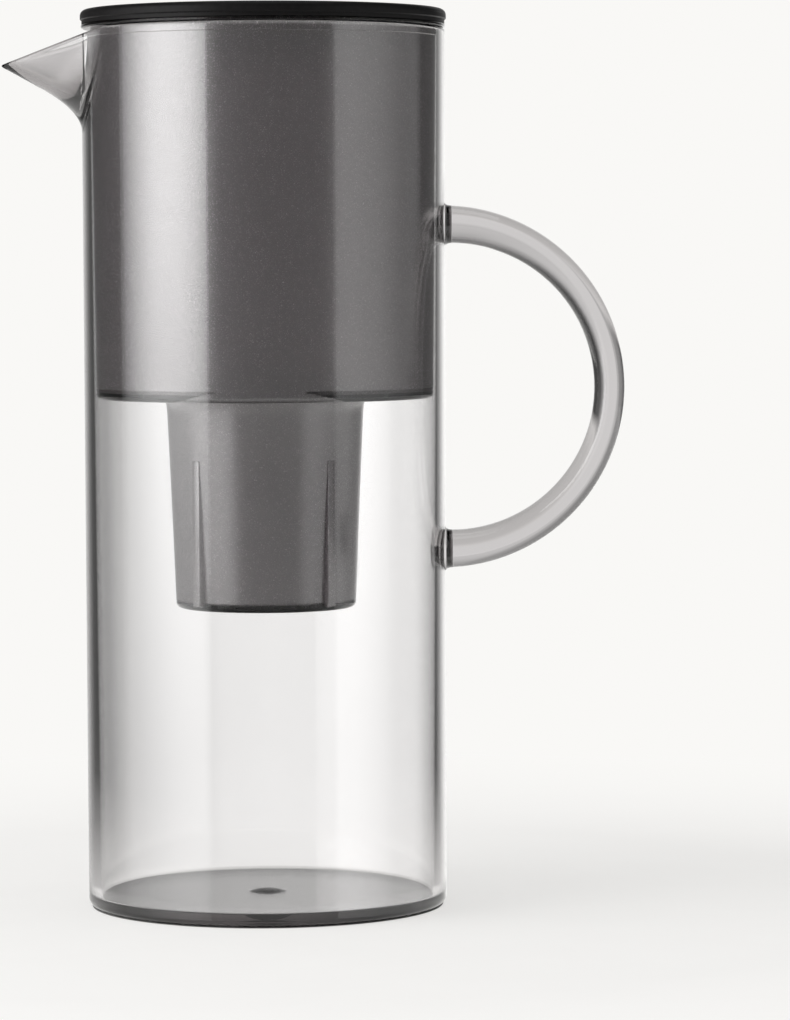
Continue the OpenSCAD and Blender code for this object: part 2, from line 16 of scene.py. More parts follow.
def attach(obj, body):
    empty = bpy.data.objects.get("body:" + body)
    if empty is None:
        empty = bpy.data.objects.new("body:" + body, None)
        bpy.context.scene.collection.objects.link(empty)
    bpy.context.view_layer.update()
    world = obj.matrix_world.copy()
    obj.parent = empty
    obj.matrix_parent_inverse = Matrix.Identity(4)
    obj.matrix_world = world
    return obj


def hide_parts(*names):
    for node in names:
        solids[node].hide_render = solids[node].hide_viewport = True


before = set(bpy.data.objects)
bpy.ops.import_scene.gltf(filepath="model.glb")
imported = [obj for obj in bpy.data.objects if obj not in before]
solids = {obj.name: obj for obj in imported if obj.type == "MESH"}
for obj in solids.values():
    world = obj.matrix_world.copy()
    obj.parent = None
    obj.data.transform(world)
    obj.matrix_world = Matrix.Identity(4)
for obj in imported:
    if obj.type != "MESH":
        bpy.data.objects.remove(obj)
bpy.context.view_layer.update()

# %% [markdown]
# ## Tools for turned pieces
# The jug and the hopper are round, so each starts as half of its cross-section, a row of radius and height pairs in
# millimetres. `bmesh.ops.spin` turns that row once round the axis. Doubles are merged afterwards, which also closes
# the poles on the axis, and only then are the normals recalculated.

# %% Arcs and turned profiles
ROUND_STEPS = 360


def arc(radius, height, bend, start, end, steps):
    """Points of a rounded corner about a centre, from one angle to another in degrees."""
    turns = [math.radians(start + (end - start) * k / steps) for k in range(steps + 1)]
    return [(radius + bend * math.cos(t), height + bend * math.sin(t)) for t in turns]


def turn_profile(profile):
    """A bmesh with a profile in millimetres turned once round the Z axis."""
    bm = bmesh.new()
    row = [bm.verts.new((r / 1000, 0, z / 1000)) for r, z in profile]
    line = [bm.edges.new(pair) for pair in zip(row, row[1:])]
    bmesh.ops.spin(bm, geom=row + line, axis=(0, 0, 1), angle=math.tau, steps=ROUND_STEPS, use_merge=True)
    bmesh.ops.remove_doubles(bm, verts=bm.verts, dist=1e-7)
    bmesh.ops.recalc_face_normals(bm, faces=bm.faces)
    return bm


# %% [markdown]
# ## Tools for pieces
# A bmesh becomes an object at the origin. Two solids are joined, or one is cut by the other, and the result is kept
# as a plain mesh. A finished piece takes the place of its CAD node and rides on that node's body, so that both move
# together. Where the plastic of one moulding looks different, some of its faces get a second finish.

# %% Objects, joins and places
CREASE = math.radians(35)


def new_object(name, bm):
    """An object at the origin that holds a bmesh."""
    mesh = bpy.data.meshes.new(name)
    bm.to_mesh(mesh)
    bm.free()
    made = bpy.data.objects.new(name, mesh)
    bpy.context.scene.collection.objects.link(made)
    return made


def combine(target, tool, operation):
    """Adds a second solid to the first one, or cuts it out, and keeps the result as the first one's mesh."""
    step = target.modifiers.new(operation.lower(), "BOOLEAN")
    step.object = tool
    step.operation = operation
    step.solver = "MANIFOLD"
    graph = bpy.context.evaluated_depsgraph_get()
    result = bpy.data.meshes.new_from_object(target.evaluated_get(graph))
    target.modifiers.clear()
    target.data = result
    bpy.data.objects.remove(tool)


def place_piece(made, body, node, finish):
    """Smooths a piece up to the crease angle, gives it its finish and puts it in its CAD node's place."""
    made.data.materials.clear()
    made.data.materials.append(finish)
    made.data.shade_smooth()
    made.data.set_sharp_from_angle(angle=CREASE)
    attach(made, body)
    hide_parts(node)
    print(made.name, len(made.data.polygons), "faces for", node)


def dress_faces(made, finish, chosen):
    """Gives another finish to chosen faces. The test gets a face's centre, distance from the axis and normal."""
    made.data.materials.append(finish)
    last, count = len(made.data.materials) - 1, 0
    for face in made.data.polygons:
        if chosen(face.center * 1000, 1000 * math.hypot(face.center.x, face.center.y), face.normal):
            face.material_index = last
            count += 1
    print(count, "faces of", made.name, "in", finish.name)


# %% [markdown]
# ## The camera
# The photograph was taken with a long lens from about 1.5 m, a little below the lid. The camera is turned by a
# matrix of its right, up and backward directions, so that its slight roll is easy to see.

# %% Camera
VIEW_FROM = (0.04221, -1.5, 0.21438)
VIEW_PITCH, VIEW_ROLL = math.radians(3.268), math.radians(-0.24)
camera_data = bpy.data.cameras.new("camera")
camera_data.lens = 162.27
camera_data.sensor_width = 36
camera = bpy.data.objects.new("camera", camera_data)
bpy.context.scene.collection.objects.link(camera)
forward = Vector((0, math.cos(VIEW_PITCH), -math.sin(VIEW_PITCH)))
level_right = Vector((1, 0, 0))
level_up = level_right.cross(forward)
right = level_right * math.cos(VIEW_ROLL) + level_up * math.sin(VIEW_ROLL)
up = level_up * math.cos(VIEW_ROLL) - level_right * math.sin(VIEW_ROLL)
facing = Matrix((right, up, -forward)).transposed()
camera.matrix_world = Matrix.Translation(VIEW_FROM) @ facing.to_4x4()
bpy.context.scene.camera = camera
print("camera at", [round(x, 3) for x in camera.location])

# %% [markdown]
# ## Finishes
# Every finish is a Principled shader whose colour and gloss follow a noise on Object coordinates, because no moulded
# piece is quite even. These helpers make the noise and feed it to a colour, to a value or to fine bumps. The last one
# tints the inside of a clear piece.

# %% Helpers for finishes
NOISE_LOW, NOISE_HIGH = 0.3, 0.7


def start_finish(name):
    """A new material with its node tree and its Principled shader."""
    finish = bpy.data.materials.new(name)
    finish.use_nodes = True
    tree = finish.node_tree
    return finish, tree, tree.nodes["Principled BSDF"]


def noise(tree, scale, detail=2.0):
    """Noise fixed to the piece, with the size of its grain set by a scale per metre."""
    place = tree.nodes.new("ShaderNodeTexCoord")
    made = tree.nodes.new("ShaderNodeTexNoise")
    made.inputs["Scale"].default_value = scale
    made.inputs["Detail"].default_value = detail
    tree.links.new(place.outputs["Object"], made.inputs["Vector"])
    return made.outputs["Fac"]


def vary(tree, source, low, high, socket):
    """Feeds a socket with a value between two limits that follows a noise."""
    limits = tree.nodes.new("ShaderNodeMapRange")
    limits.inputs["From Min"].default_value = NOISE_LOW
    limits.inputs["From Max"].default_value = NOISE_HIGH
    limits.inputs["To Min"].default_value = low
    limits.inputs["To Max"].default_value = high
    tree.links.new(source, limits.inputs["Value"])
    tree.links.new(limits.outputs["Result"], socket)


def tint(tree, source, low, high, socket):
    """Feeds a colour socket with a blend of two colours that follows a noise."""
    ramp = tree.nodes.new("ShaderNodeValToRGB")
    ramp.color_ramp.elements[0].position = NOISE_LOW
    ramp.color_ramp.elements[0].color = (*low, 1)
    ramp.color_ramp.elements[1].position = NOISE_HIGH
    ramp.color_ramp.elements[1].color = (*high, 1)
    tree.links.new(source, ramp.inputs["Fac"])
    tree.links.new(ramp.outputs["Color"], socket)


def emboss(tree, shader, source, height, strength=1.0):
    """Bumps a surface by a noise, with the bump's height in metres."""
    bump = tree.nodes.new("ShaderNodeBump")
    bump.inputs["Strength"].default_value = strength
    bump.inputs["Distance"].default_value = height
    tree.links.new(source, bump.inputs["Height"])
    tree.links.new(bump.outputs["Normal"], shader.inputs["Normal"])


def absorb(tree, colour, density):
    """Tints the inside of a clear piece by the length of the light's way through it."""
    volume = tree.nodes.new("ShaderNodeVolumeAbsorption")
    volume.inputs["Color"].default_value = (*colour, 1)
    volume.inputs["Density"].default_value = density
    tree.links.new(volume.outputs["Volume"], tree.nodes["Material Output"].inputs["Volume"])


# %% [markdown]
# Clear plastic has full transmission. Its grey tint comes from the wall's thickness, so it is set as absorption in
# the volume: a long way through the wall, as at the jug's edges, looks darker by itself. The thick handle and the
# bonded seams get more of it; the spout gets far more, as painted shade. The scar where the jug was fed is matt,
# and painted near-black as shade.

# %% Clear smoke plastic
PLASTIC_IOR = 1.55
CLEAR_TINT, CLEAR_DENSITY = (0.51, 0.487, 0.492), 50


def clear_finish(name, density):
    """Polished clear plastic whose smoke tint grows with a density."""
    finish, tree, shader = start_finish(name)
    shader.inputs["Transmission Weight"].default_value = 1.0
    shader.inputs["IOR"].default_value = PLASTIC_IOR
    tint(tree, noise(tree, 18), (0.985, 0.984, 0.984), (1.0, 0.999, 0.999), shader.inputs["Base Color"])
    vary(tree, noise(tree, 45), 0.0, 0.02, shader.inputs["Roughness"])
    absorb(tree, CLEAR_TINT, density)
    return finish


clear_smoke = clear_finish("clear_smoke", CLEAR_DENSITY)
handle_smoke = clear_finish("handle_smoke", 80)
# The spout's far denser smoke is painted shade, to make it look darker than the wall.
spout_shade_smoke = clear_finish("spout_shade_smoke", 310)
bond_smoke = clear_finish("bond_smoke", 260)

# The scar is matt; its near-black colour is painted shade in the dimple.
gate_scar_shade, tree, shader = start_finish("gate_scar_shade")
tint(tree, noise(tree, 900, 3), (0.012, 0.012, 0.012), (0.045, 0.044, 0.044), shader.inputs["Base Color"])
vary(tree, noise(tree, 1500), 0.5, 0.7, shader.inputs["Roughness"])
absorb(tree, CLEAR_TINT, CLEAR_DENSITY)
print("clear finishes:", [finish.name for finish in (clear_smoke, handle_smoke, spout_shade_smoke, bond_smoke, gate_scar_shade)])

# %% [markdown]
# The hopper's walls are dark smoke with a satin grain, partly clear under a skin that shines. The sides of its ribs
# are duller. The edges of its floors and its flange, where the plastic is seen edge-on, get a darker, polished copy
# of the smoke as painted shade.

# %% Dark smoke plastic
SMOKE_TINT = (0.30, 0.27, 0.28)


def satin_finish(name, clear, gloss):
    """Dark smoke plastic with a fine grain, clear by a share, under a satin skin that shines by a share."""
    finish, tree, shader = start_finish(name)
    shader.inputs["Transmission Weight"].default_value = clear
    shader.inputs["IOR"].default_value = PLASTIC_IOR
    tint(tree, noise(tree, 1500, 2), (0.28, 0.236, 0.250), (0.46, 0.410, 0.428), shader.inputs["Base Color"])
    vary(tree, noise(tree, 3500, 1), 0.22, 0.28, shader.inputs["Roughness"])
    shader.inputs["Coat Weight"].default_value = gloss
    shader.inputs["Coat IOR"].default_value = 2.2
    shader.inputs["Coat Roughness"].default_value = 0.31
    absorb(tree, SMOKE_TINT, 110)
    return finish


dark_smoke = satin_finish("dark_smoke", clear=0.74, gloss=1.0)
rib_smoke = satin_finish("rib_smoke", clear=0.4, gloss=0.4)

# A darker, denser copy of the smoke: painted shade for the edges of the hopper's floors and flange.
edge_shade_smoke, tree, shader = start_finish("edge_shade_smoke")
shader.inputs["Transmission Weight"].default_value = 1.0
shader.inputs["IOR"].default_value = 1.33
tint(tree, noise(tree, 60), (0.90, 0.88, 0.885), (1.0, 0.98, 0.985), shader.inputs["Base Color"])
vary(tree, noise(tree, 400, 1), 0.0, 0.04, shader.inputs["Roughness"])
absorb(tree, SMOKE_TINT, 300)
print("smoke finishes:", [finish.name for finish in (dark_smoke, rib_smoke, edge_shade_smoke)])

# %% [markdown]
# The lid is a satin black moulding: almost black, with a fine spark-eroded grain that spreads its highlights.
# The seals are silicone and the hinge pin is drawn wire.

# %% Lid, seals and pin
lid_black, tree, shader = start_finish("lid_black")
tint(tree, noise(tree, 700, 4), (0.007, 0.0066, 0.0068), (0.011, 0.0103, 0.0106), shader.inputs["Base Color"])
vary(tree, noise(tree, 240), 0.40, 0.44, shader.inputs["Roughness"])
shader.inputs["Specular IOR Level"].default_value = 0.12
emboss(tree, shader, noise(tree, 2600, 2), 0.00001, 0.5)

seal_silicone, tree, shader = start_finish("seal_silicone")
tint(tree, noise(tree, 400), (0.055, 0.055, 0.057), (0.085, 0.085, 0.088), shader.inputs["Base Color"])
vary(tree, noise(tree, 300), 0.5, 0.62, shader.inputs["Roughness"])

pin_steel, tree, shader = start_finish("pin_steel")
shader.inputs["Metallic"].default_value = 1.0
tint(tree, noise(tree, 500), (0.55, 0.55, 0.56), (0.68, 0.68, 0.69), shader.inputs["Base Color"])
vary(tree, noise(tree, 900), 0.2, 0.34, shader.inputs["Roughness"])
print("lid finishes:", [finish.name for finish in (lid_black, seal_silicone, pin_steel)])

# %% [markdown]
# The cartridge is plain off-white plastic with perforated screens. It holds black carbon granules and amber resin
# beads, whose bumps stand in for the grains, with a felt between them.

# %% Cartridge and its filling
cartridge_white, tree, shader = start_finish("cartridge_white")
tint(tree, noise(tree, 120), (0.70, 0.70, 0.68), (0.78, 0.78, 0.76), shader.inputs["Base Color"])
vary(tree, noise(tree, 300), 0.36, 0.48, shader.inputs["Roughness"])
emboss(tree, shader, noise(tree, 1800), 0.00002, 0.4)

screen_white, tree, shader = start_finish("screen_white")
tint(tree, noise(tree, 2200), (0.74, 0.74, 0.72), (0.84, 0.84, 0.82), shader.inputs["Base Color"])
vary(tree, noise(tree, 900), 0.45, 0.6, shader.inputs["Roughness"])

carbon_granules, tree, shader = start_finish("carbon_granules")
tint(tree, noise(tree, 900, 3), (0.006, 0.006, 0.006), (0.035, 0.035, 0.036), shader.inputs["Base Color"])
vary(tree, noise(tree, 1100), 0.35, 0.75, shader.inputs["Roughness"])
emboss(tree, shader, noise(tree, 900, 3), 0.0006)

felt_fibre, tree, shader = start_finish("felt_fibre")
tint(tree, noise(tree, 3000, 4), (0.66, 0.66, 0.63), (0.84, 0.84, 0.81), shader.inputs["Base Color"])
shader.inputs["Roughness"].default_value = 0.9
shader.inputs["Sheen Weight"].default_value = 0.3
emboss(tree, shader, noise(tree, 2600, 4), 0.0002)

resin_beads, tree, shader = start_finish("resin_beads")
tint(tree, noise(tree, 1300, 2), (0.34, 0.20, 0.05), (0.62, 0.42, 0.15), shader.inputs["Base Color"])
vary(tree, noise(tree, 1300), 0.2, 0.4, shader.inputs["Roughness"])
emboss(tree, shader, noise(tree, 1300, 1), 0.0004)
print(len(bpy.data.materials), "materials so far")

# %% [markdown]
# ## The jug's wall and spout
# The spout is a cone whose point is the tip, lying on its side with its axis rising towards the jug. Where it meets
# the wall a smooth maximum rounds the crease: wide under the keel and narrow at the sides. The channel inside is the
# same cone, moved in by the wall's thickness. These functions give both surfaces, in millimetres and radians.

# %% Sizes of the jug and its spout
RIM_R, FOOT_R, JUG_H = 59.0, 58.6, 285.5
BORE_RIM_R, BORE_FOOT_R, BASE_T = 56.4, 54.7, 3.8
FOOT_ROUND, FLOOR_FILLET = 2.5, 0.8
SPOUT_REACH, TIP_Z, SPOUT_WALL = 85.8, 273.9, 2.4
CONE_TILT, CONE_HALF = math.radians(13.3), math.radians(42.3)
LIP_SLOPE = math.tan(math.radians(18))
SPOUT_LOW_Z, SPOUT_SPREAD, SPOUT_NARROW = TIP_Z - 27, math.radians(42), 0.88
KEEL_SPREAD, SIDE_BLEND, KEEL_BLEND, CHANNEL_BLEND = math.radians(30), 1.6, 11.4, 0.8
TROUGH_SHIFT = SPOUT_WALL / math.sin(CONE_HALF)
TROUGH_REACH = SPOUT_REACH - TROUGH_SHIFT * math.cos(CONE_TILT)
TROUGH_Z = TIP_Z + TROUGH_SHIFT * math.sin(CONE_TILT)
AXIS_RATIO = math.cos(CONE_TILT) / math.cos(CONE_HALF)
RISE_RATIO = math.sin(CONE_TILT) / math.cos(CONE_HALF)
print("jug", JUG_H, "mm tall, spout reaches", SPOUT_REACH, "mm from the axis")


# %% Wall and spout surfaces
def outer_wall(z):
    """Radius of the jug's outside at a height."""
    return FOOT_R + (RIM_R - FOOT_R) * (z - FOOT_ROUND) / (JUG_H - FOOT_ROUND)


def inner_wall(z):
    """Radius of the jug's bore at a height."""
    low = BASE_T + FLOOR_FILLET
    return BORE_FOOT_R + (BORE_RIM_R - BORE_FOOT_R) * (z - low) / (JUG_H - low)


def smooth_max(a, b, width):
    """The larger of two radii, rounded over a width where they meet."""
    return max(a, b) + max(width - abs(a - b), 0) ** 2 / (4 * width)


def cone_radius(angle, z, reach, tip_z):
    """Distance from the jug's axis to a spout cone, at an angle from -X and a height."""
    h, c, s = tip_z - z, math.cos(angle), math.sin(angle) / SPOUT_NARROW
    u2, uh, h2 = AXIS_RATIO ** 2 - 1, 2 * AXIS_RATIO * RISE_RATIO, 1 - RISE_RATIO ** 2
    q2 = u2 * c * c - s * s
    q1 = (uh * h - 2 * u2 * reach) * c
    q0 = u2 * reach * reach - uh * reach * h - h2 * h * h
    return 2 * q0 / (-q1 + math.sqrt(max(q1 * q1 - 4 * q2 * q0, 0)))


def spout_outside(angle, z):
    """Radius of the spout's skin, blended into the wall."""
    fade = math.cos(math.pi / 2 * min(abs(angle) / KEEL_SPREAD, 1)) ** 2
    cone = cone_radius(angle, z, SPOUT_REACH, TIP_Z)
    return smooth_max(outer_wall(z), cone, SIDE_BLEND + KEEL_BLEND * fade)


def spout_inside(angle, z):
    """Radius of the spout's channel, which meets the bore in a crisp edge."""
    return smooth_max(inner_wall(z), cone_radius(angle, z, TROUGH_REACH, TROUGH_Z), CHANNEL_BLEND)


def lip_height(surface, angle):
    """Height at which a spout surface meets the sloping lip or the rim, closed in on step by step."""
    z = JUG_H
    for _ in range(60):
        z = min(JUG_H, TIP_Z + LIP_SLOPE * (SPOUT_REACH - surface(angle, z) * math.cos(angle)))
    return z


tip_r, channel_z = spout_outside(0, TIP_Z), lip_height(spout_inside, 0)
print("spout tip", round(tip_r, 2), "channel tip height", round(channel_z, 2))

# %% [markdown]
# ## The jug
# One closed profile holds the whole wall: the dimple where the plastic was fed in, the base, the outside, the rim and
# the bore back down to the floor, which rises in a low dome over the dimple. Rows lie close together where the spout
# will be.

# %% Profile of the jug
RIM_SOFT = 1.1
GATE_R, GATE_DEPTH, STUB_R, STUB_H, STUB_SOFT = 5.9, 2.2, 1.3, 0.9, 0.2
DOME_R, DOME_H, DOME_RING = 6.05, 1.15, 0.3
stub_z = GATE_DEPTH - STUB_H
gate_ball = (GATE_R ** 2 + GATE_DEPTH ** 2) / (2 * GATE_DEPTH)
dome_ball = (DOME_R ** 2 + DOME_H ** 2) / (2 * DOME_H)
dome = [DOME_R * k / 10 for k in range(11)]
dimple = [STUB_R + (GATE_R - STUB_R) * k / 10 for k in range(11)]
rows = [8, 20, 50, 80, 110, 140, 170, 200, 225, 240]
rows += [SPOUT_LOW_Z + (JUG_H - RIM_SOFT - SPOUT_LOW_Z) * k / 60 for k in range(60)]

jug_profile = [(0, stub_z), (STUB_R - STUB_SOFT, stub_z), (STUB_R, stub_z + STUB_SOFT)]
jug_profile += [(r, GATE_DEPTH - gate_ball + math.sqrt(gate_ball ** 2 - r * r)) for r in dimple]
jug_profile += [(20, 0), (40, 0)] + arc(FOOT_R - FOOT_ROUND, FOOT_ROUND, FOOT_ROUND, -90, 0, 10)
jug_profile += [(outer_wall(z), z) for z in rows]
jug_profile += arc(RIM_R - RIM_SOFT, JUG_H - RIM_SOFT, RIM_SOFT, 0, 90, 9)
jug_profile += arc(BORE_RIM_R + RIM_SOFT, JUG_H - RIM_SOFT, RIM_SOFT, 90, 180, 9)
jug_profile += [(inner_wall(z), z) for z in reversed(rows)]
jug_profile += arc(BORE_FOOT_R - FLOOR_FILLET, BASE_T + FLOOR_FILLET, FLOOR_FILLET, 0, -90, 8)
jug_profile += [(40, BASE_T), (20, BASE_T), (DOME_R + DOME_RING, BASE_T)]
jug_profile += [(r, BASE_T + DOME_H - dome_ball + math.sqrt(dome_ball ** 2 - r * r)) for r in reversed(dome)]
print("jug profile of", len(jug_profile), "points")

# %% [markdown]
# After the spin, the points in front are moved onto the spout's surfaces. A point keeps its share of the way up and
# its share of the way through the wall, so that the rim's rounded edge follows the lip.

# %% Turn the jug and pull out its spout
bm = turn_profile(jug_profile)
lip_heights = {}
moved = 0
for point in bm.verts:
    x, y, z = point.co * 1000
    angle = math.atan2(y, -x)
    if z <= SPOUT_LOW_Z or abs(angle) > SPOUT_SPREAD:
        continue
    step = round(angle, 4)
    if step not in lip_heights:
        lip_heights[step] = (lip_height(spout_outside, angle), lip_height(spout_inside, angle))
    share_up = (z - SPOUT_LOW_Z) / (JUG_H - SPOUT_LOW_Z)
    share_out = (math.hypot(x, y) - inner_wall(z)) / (outer_wall(z) - inner_wall(z))
    high_out, high_in = lip_heights[step]
    z_out = SPOUT_LOW_Z + share_up * (high_out - SPOUT_LOW_Z)
    z_in = SPOUT_LOW_Z + share_up * (high_in - SPOUT_LOW_Z)
    r = share_out * spout_outside(angle, z_out) + (1 - share_out) * spout_inside(angle, z_in)
    z = share_out * z_out + (1 - share_out) * z_in
    point.co = Vector((-r * math.cos(angle), r * math.sin(angle), z)) / 1000
    moved += 1
print(moved, "points moved onto the spout")

# %% [markdown]
# The spout gets a far denser smoke than the wall, as painted shade that makes it look darker. Four flat cuts give
# its root clean borders for that painted shade: one behind it, one below it and two rising along its sides.

# %% Cut the spout's root free for its painted shade
ROOT_X, ROOT_Z, ROOT_HALF, ROOT_RISE = -56.6, 256.0, 7.0, 0.8
NEAR_X, NEAR_Z = -0.05, 0.247
cuts = [((ROOT_X, 0, 0), (1, 0, 0)), ((0, 0, ROOT_Z), (0, 0, 1))]
cuts += [((0, side * ROOT_HALF, ROOT_Z), (0, -side * ROOT_RISE, 1)) for side in (1, -1)]
for cut, across_cut in cuts:
    middles = [(face, face.calc_center_median()) for face in bm.faces]
    near = [face for face, middle in middles if middle.x < NEAR_X and middle.z > NEAR_Z]
    corners = {item for face in near for item in (*face.verts, *face.edges)}
    place = Vector(cut) / 1000
    bmesh.ops.bisect_plane(bm, geom=[*corners, *near], plane_co=place, plane_no=across_cut, dist=1e-7)
jug = new_object("clear_jug", bm)
print("jug", len(jug.data.polygons), "faces")

# %% [markdown]
# ## The handle and its pads
# The handle is the space between two circles, one a little further out than the other, so its bar thins towards the
# ends. Its section has flat faces, with softer corners on the grip's side. Each point of the section is kept as a
# share outwards and a share across, so that the pads on the jug's wall can use the same ring.

# %% Section shared by the handle and its pads
HANDLE_R, GRIP_R, HANDLE_Z, HANDLE_W = 59.0, 46.7, 169.0, 15.0
OUTER_X, INNER_X, BOND_X = 58.2, 60.65, 61.0
BAR_MID, BAR_HALF = (HANDLE_R + GRIP_R) / 2, (HANDLE_R - GRIP_R) / 2
CORNER_STEPS, OUTER_CORNER, INNER_CORNER = 14, (3.6, 6.0), (6.0, 7.0)


def section_ring(bm):
    """A ring of points whose share outwards and share across are kept in two layers."""
    across = bm.verts.layers.float.new("across")
    outwards = bm.verts.layers.float.new("outwards")
    ring = bmesh.ops.create_circle(bm, cap_ends=False, segments=4 * CORNER_STEPS, radius=1)["verts"]
    for k, point in enumerate(ring):
        corner, step = divmod(k, CORNER_STEPS)
        a = math.radians(90 * corner + 90 * step / (CORNER_STEPS - 1))
        side, face = 1 if corner in (0, 3) else -1, 1 if corner < 2 else -1
        deep, wide = OUTER_CORNER if side > 0 else INNER_CORNER
        share_out, share_over = 2 * deep / (HANDLE_R - GRIP_R), 2 * wide / HANDLE_W
        point[outwards] = side * (1 - share_out) + share_out * math.cos(a)
        point[across] = face * (1 - share_over) + share_over * math.sin(a)
    return ring, outwards, across


def close_ends(bm):
    """Closes every open end with one face and points all faces outwards."""
    open_edges = [edge for edge in bm.edges if edge.is_boundary]
    bmesh.ops.holes_fill(bm, edges=open_edges)
    bmesh.ops.recalc_face_normals(bm, faces=bm.faces)


# %% [markdown]
# A pad starts inside the jug's wall and narrows in a quarter of an ellipse to the handle's own section. The ring is
# extruded from station to station along it. Both pads are then joined to the jug, with which they are moulded.

# %% Pads on the jug's wall
PAD_LENGTH, PAD_FLARE, PAD_ROOT = 2.1, 0.9, 1.6


def make_pad(side):
    """A pad whose foot flares into the wall, above the handle's middle or below it."""
    bm = bmesh.new()
    ring, outwards, across = section_ring(bm)
    stations = [(RIM_R - PAD_ROOT, PAD_FLARE)]
    for a in range(0, 91, 15):
        t = math.radians(a)
        stations.append((BOND_X - PAD_LENGTH * math.cos(t), PAD_FLARE * (1 - math.sin(t))))
    edges = bm.edges[:]
    for k, (x, margin) in enumerate(stations):
        if k:
            grown = bmesh.ops.extrude_edge_only(bm, edges=edges)["geom"]
            edges = [item for item in grown if isinstance(item, bmesh.types.BMEdge)]
            ring = [item for item in grown if isinstance(item, bmesh.types.BMVert)]
        for point in ring:
            z = HANDLE_Z + side * (BAR_MID + (BAR_HALF + margin) * point[outwards])
            point.co = Vector((x, (HANDLE_W / 2 + margin) * point[across], z)) / 1000
    close_ends(bm)
    return new_object("pad", bm)


for side in (1, -1):
    combine(jug, make_pad(side), "UNION")
place_piece(jug, "jug", "jug_body", clear_smoke)

# %% [markdown]
# Three parts of the jug get a finish of their own: the scar in the dimple, painted near-black as shade, the spout,
# darkened by painted shade, and the pads, whose bonded seams show as dark lines.

# %% Finishes on parts of the jug
GATE_TOP, PAD_FROM = 2.3, 59.2


def on_gate(centre, radius, normal):
    """In the dimple under the base."""
    return centre.z < GATE_TOP and radius < GATE_R


def on_spout(centre, radius, normal):
    """On the part of the spout that stands clear of the wall."""
    low = ROOT_Z + ROOT_RISE * max(abs(centre.y) - ROOT_HALF, 0)
    return centre.x < ROOT_X and centre.z > low


def on_pad(centre, radius, normal):
    """On a pad's flare or its end."""
    return centre.x > PAD_FROM and radius > PAD_FROM


# The scar and the spout get painted shade; the pads get their dark bond lines.
dress_faces(jug, gate_scar_shade, on_gate)
dress_faces(jug, spout_shade_smoke, on_spout)
dress_faces(jug, bond_smoke, on_pad)

# %% [markdown]
# For the handle the ring is spun half round, and each point is then set between the two circles. Both ends are cut
# flat, a hair's breadth from the pads that they are bonded to.

# %% Handle
BOND_GAP, BAR_STEPS = 0.05, 144
bm = bmesh.new()
ring, outwards, across = section_ring(bm)
for point in ring:
    z = HANDLE_Z + BAR_MID + BAR_HALF * point[outwards]
    point.co = Vector((OUTER_X, HANDLE_W / 2 * point[across], z)) / 1000
hub = Vector((OUTER_X, 0, HANDLE_Z)) / 1000
start = bm.verts[:] + bm.edges[:]
bmesh.ops.spin(bm, geom=start, cent=hub, axis=(0, 1, 0), angle=math.pi, steps=BAR_STEPS)
for point in bm.verts:
    turn = math.atan2(point.co.z - hub.z, point.co.x - hub.x)
    share = (1 + point[outwards]) / 2
    outer = Vector((OUTER_X + HANDLE_R * math.cos(turn), 0, HANDLE_Z + HANDLE_R * math.sin(turn)))
    inner = Vector((INNER_X + GRIP_R * math.cos(turn), 0, HANDLE_Z + GRIP_R * math.sin(turn)))
    point.co = (inner.lerp(outer, share) + Vector((0, HANDLE_W / 2 * point[across], 0))) / 1000
whole = bm.verts[:] + bm.edges[:] + bm.faces[:]
bond = Vector((BOND_X + BOND_GAP, 0, 0)) / 1000
bmesh.ops.bisect_plane(bm, geom=whole, plane_co=bond, plane_no=(1, 0, 0), clear_inner=True)
close_ends(bm)
handle = new_object("loop_handle", bm)
place_piece(handle, "jug", "handle", handle_smoke)

# %% [markdown]
# ## The hopper
# The hopper is one moulding: a flange on the jug's rim, a collar that centres it in the jug's mouth, a tapered wall,
# a floor, and a well for the filter below it. Its profile runs from the well's underside up the outside, over the
# flange and down again inside.

# %% Profile of the hopper
SOFT = 0.3
WALL_R, WALL_Z, WALL_DRAFT = 54.9, 166.5, 116


def hopper_wall(z):
    """Radius of the hopper's outside at a height."""
    return WALL_R + (z - WALL_Z) / WALL_DRAFT


well_outside = [(0, 97.3), (10, 97.3), (20, 97.3)] + arc(27.6, 99.1, 1.8, -90, 0, 6)
well_outside += [(29.44, 100.2), (30.2, 120), (31.1, 141), (32.0, 160.8), (32.25, 163.4), (32.9, 165.6)]
floor_under = [(40, 165.6), (48, 165.6)] + arc(53.4, 167.1, 1.5, -90, 0, 6)
wall_rows = (167.5, 168, 168.5, 169.2, 180, 200, 220, 240, 260, 275, 282.5)
wall_outside = [(hopper_wall(z), z) for z in wall_rows]
collar = [(56.15, 282.8), (56.15, 285.4), (56.15, 285.5)]
flange = arc(58.45, 286.15, 0.65, -90, 0, 6) + arc(58.45, 286.25, 0.65, 0, 90, 6)
mouth = arc(54.4, 286.6, SOFT, 90, 180, 3) + [(54.1, 282), (54.1, 274.9)]
wall_inside = [(53.9, 255), (53.7, 230), (53.45, 205), (53.2, 180), (53.1, 168)]
floor_inside = [(42, 168)] + arc(30.5, 167.7, SOFT, 90, 180, 3)
well_inside = [(30.2, 160), (29.0, 132), (27.6, 99.6), (20, 99.6), (10, 99.6), (0, 99.6)]
hopper_profile = well_outside + floor_under + wall_outside + collar + flange
hopper_profile += mouth + wall_inside + floor_inside + well_inside
print("hopper profile of", len(hopper_profile), "points")

# %% [markdown]
# The side towards the spout is a flat, so that filtered water can pass up to the spout. It is made by moving the
# points that stand past it back onto it, those inside the wall by the wall's thickness more.

# %% Turn the hopper and flatten its side
HOPPER_WALL = 1.8
FLAT_LOW, FLAT_HIGH = 164.9, 285.45
INSIDE_LOW, INSIDE_HIGH, INSIDE_R = 167.9, 275, 54.2


